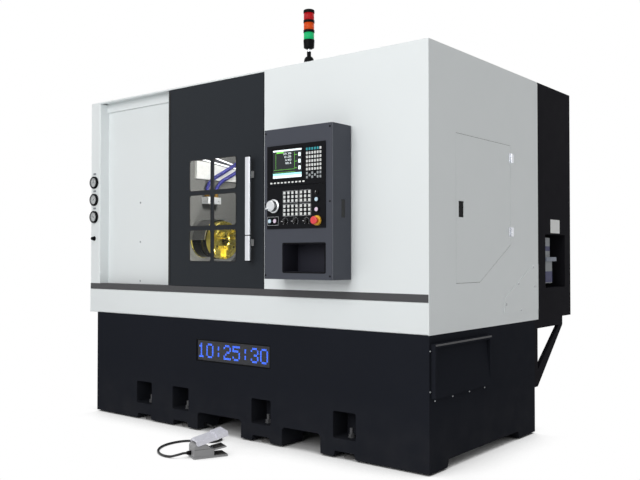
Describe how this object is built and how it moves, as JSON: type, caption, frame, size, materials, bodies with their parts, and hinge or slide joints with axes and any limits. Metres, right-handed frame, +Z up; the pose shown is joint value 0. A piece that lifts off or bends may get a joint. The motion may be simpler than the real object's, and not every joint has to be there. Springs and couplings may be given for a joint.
{
  "type": "cnc turning lathe",
  "caption": "Slant-bed CNC turning lathe: white enclosure with a sliding windowed door, control box, signal lamp, rear cabinet and hooded foot switch on its lead.",
  "frame": {"origin": "middle of the footprint of machine and foot switch, on the floor", "axes": "+X along the spindle from the chuck to the turret, -Y to the operator, +Z up"},
  "size_m": [2.765, 2.3668, 2.483],
  "materials": {
    "cover_white": "fine-textured white paint",
    "casting_black": "satin black paint on cast iron",
    "door_black": "satin charcoal paint",
    "box_grey": "satin dark grey paint",
    "rail_grey": "dark grey paint",
    "cabinet_black": "satin black paint",
    "liner_grey": "grey paint, wet with coolant",
    "steel": "ground steel",
    "gold": "gold-coloured turned metal",
    "aluminium": "brushed",
    "chrome": "polished plating",
    "black_plastic": "black",
    "panel_film": "black film panel",
    "key_film": "white film keys",
    "pale_plastic": "white moulding",
    "light_panel": "white diffuser",
    "sign": "dark lit panel",
    "hose_blue": "blue corrugated hose",
    "red_lens": "red lens",
    "amber_lens": "amber lens",
    "green_lens": "green lens",
    "stop_red": "red",
    "pale_blue": "pale blue",
    "pale_pink": "pale pink",
    "pane": "clear safety glass",
    "pedal_grey": "painted casting",
    "pedal_white": "white paint",
    "cord_black": "black sheath"
  },
  "bodies": {
    "machine": {"base_casting": "casting_black", "levelling_feet": "rail_grey", "chip_hood": "casting_black", "sign_panel": "sign", "front_skirt": "cover_white", "door_rail": "rail_grey", "front_right_panel": "cover_white", "front_left_panel": "cover_white", "left_end_cover": "cover_white", "right_side_panel": "cover_white", "roof_panel": "cover_white", "rear_panel": "cover_white", "electrical_cabinet": "cabinet_black", "lubricator": "pale_plastic", "cabinet_brackets": "cabinet_black", "chamber_liner": "liner_grey", "work_light": "light_panel", "coolant_block": "pale_plastic", "coolant_hoses": "hose_blue", "slant_bed": "steel", "headstock": "casting_black", "lamp_body": "black_plastic", "lamp_red": "red_lens", "lamp_amber": "amber_lens", "lamp_green": "green_lens", "control_box": "box_grey", "display_unit": "panel_film", "operator_panel": "panel_film", "panel_keys": "key_film", "pressure_gauges": "black_plastic", "pedal_base": "pedal_grey", "pedal_hood": "pedal_white", "cord_glands": "black_plastic", "pedal_cord": "cord_black", "hinge_leaves": "chrome"},
    "door": {"door_panel": "door_black", "door_glass": "pane", "door_handle": "aluminium"},
    "side_door": {"side_door": "cover_white", "door_hinge_leaves": "chrome"},
    "latch": {"side_latch": "black_plastic"},
    "spindle": {"spindle": "steel", "chuck_body": "gold"},
    "jaw_1": {"jaw_1": "gold"},
    "jaw_2": {"jaw_2": "gold"},
    "jaw_3": {"jaw_3": "gold"},
    "saddle": {"saddle": "steel"},
    "cross_slide": {"cross_slide": "steel"},
    "turret": {"turret_disc": "steel"},
    "treadle": {"pedal_treadle": "pedal_grey"},
    "stop_button": {"stop_button": "stop_red"},
    "start_button": {"start_button": "pale_blue"},
    "hold_button": {"hold_button": "pale_pink"},
    "power_on_button": {"power_on_button": "pale_blue"},
    "power_off_button": {"power_off_button": "pale_pink"},
    "feed_knob": {"feed_knob": "black_plastic"},
    "speed_knob": {"speed_knob": "black_plastic"},
    "mode_knob": {"mode_knob": "black_plastic"},
    "key_switch": {"key_switch": "black_plastic"},
    "hand_wheel": {"hand_wheel": "aluminium"}
  },
  "joints": [
    {"name": "door_slide", "type": "slide", "parent": "machine", "child": "door", "axis": [-1, 0, 0], "range_m": [0, 0.7]},
    {"name": "side_door_hinge", "type": "hinge", "parent": "machine", "child": "side_door", "pos_m": [1.3755, 0.24834, 1.4], "axis": [0, 0, 1], "range_deg": [0, 110]},
    {"name": "latch_pull", "type": "hinge", "parent": "side_door", "child": "latch", "pos_m": [1.365, -0.33716, 1.35], "axis": [0, -1, 0], "range_deg": [0, 35], "stiffness_Nm_per_rad": 0.05},
    {"name": "spindle_spin", "type": "hinge", "parent": "machine", "child": "spindle", "pos_m": [-0.567, -0.23116, 1.177], "axis": [1, 0, 0], "continuous": true},
    {"name": "saddle_slide", "type": "slide", "parent": "machine", "child": "saddle", "axis": [1, 0, 0], "range_m": [-0.5, 0.25]},
    {"name": "cross_slide", "type": "slide", "parent": "saddle", "child": "cross_slide", "axis": [0, 0.7071, 0.7071], "range_m": [-0.19, 0.05]},
    {"name": "turret_index", "type": "hinge", "parent": "cross_slide", "child": "turret", "pos_m": [0.15, 0.06582, 1.47398], "axis": [1, 0, 0], "continuous": true},
    {"name": "jaw_1_slide", "type": "slide", "parent": "spindle", "child": "jaw_1", "axis": [0, -0.866, -0.5], "range_m": [0, 0.0044]},
    {"name": "jaw_2_slide", "type": "slide", "parent": "spindle", "child": "jaw_2", "axis": [0, 0.866, -0.5], "range_m": [0, 0.0044]},
    {"name": "jaw_3_slide", "type": "slide", "parent": "spindle", "child": "jaw_3", "axis": [0, 0, 1], "range_m": [0, 0.0044]},
    {"name": "start_button_press", "type": "slide", "parent": "machine", "child": "start_button", "axis": [0, 1, 0], "range_m": [0, 0.004], "stiffness_N_per_m": 500},
    {"name": "hold_button_press", "type": "slide", "parent": "machine", "child": "hold_button", "axis": [0, 1, 0], "range_m": [0, 0.004], "stiffness_N_per_m": 500},
    {"name": "power_on_button_press", "type": "slide", "parent": "machine", "child": "power_on_button", "axis": [0, 1, 0], "range_m": [0, 0.004], "stiffness_N_per_m": 500},
    {"name": "power_off_button_press", "type": "slide", "parent": "machine", "child": "power_off_button", "axis": [0, 1, 0], "range_m": [0, 0.004], "stiffness_N_per_m": 500},
    {"name": "stop_button_press", "type": "slide", "parent": "machine", "child": "stop_button", "axis": [0, 1, 0], "range_m": [0, 0.004], "stiffness_N_per_m": 500},
    {"name": "feed_knob_turn", "type": "hinge", "parent": "machine", "child": "feed_knob", "pos_m": [0.591, -0.83316, 1.253], "axis": [0, -1, 0], "range_deg": [-135, 135]},
    {"name": "speed_knob_turn", "type": "hinge", "parent": "machine", "child": "speed_knob", "pos_m": [0.663, -0.83316, 1.253], "axis": [0, -1, 0], "range_deg": [-135, 135]},
    {"name": "mode_knob_turn", "type": "hinge", "parent": "machine", "child": "mode_knob", "pos_m": [0.739, -0.83316, 1.253], "axis": [0, -1, 0], "range_deg": [-120, 120]},
    {"name": "key_switch_turn", "type": "hinge", "parent": "machine", "child": "key_switch", "pos_m": [0.809, -0.83316, 1.398], "axis": [0, -1, 0], "range_deg": [0, 90]},
    {"name": "hand_wheel_turn", "type": "hinge", "parent": "machine", "child": "hand_wheel", "pos_m": [0.515, -0.83316, 1.337], "axis": [0, -1, 0], "continuous": true},
    {"name": "treadle_press", "type": "hinge", "parent": "machine", "child": "treadle", "pos_m": [0.23271, -1.04255, 0.036], "axis": [-0.9041, 0.4274, 0], "range_deg": [0, 9], "stiffness_Nm_per_rad": 8, "springref_deg": -8.59}
  ],
  "couplings": [
    {"joint": "jaw_2_slide", "follows": "jaw_1_slide", "ratio": 1},
    {"joint": "jaw_3_slide", "follows": "jaw_1_slide", "ratio": 1}
  ]
}
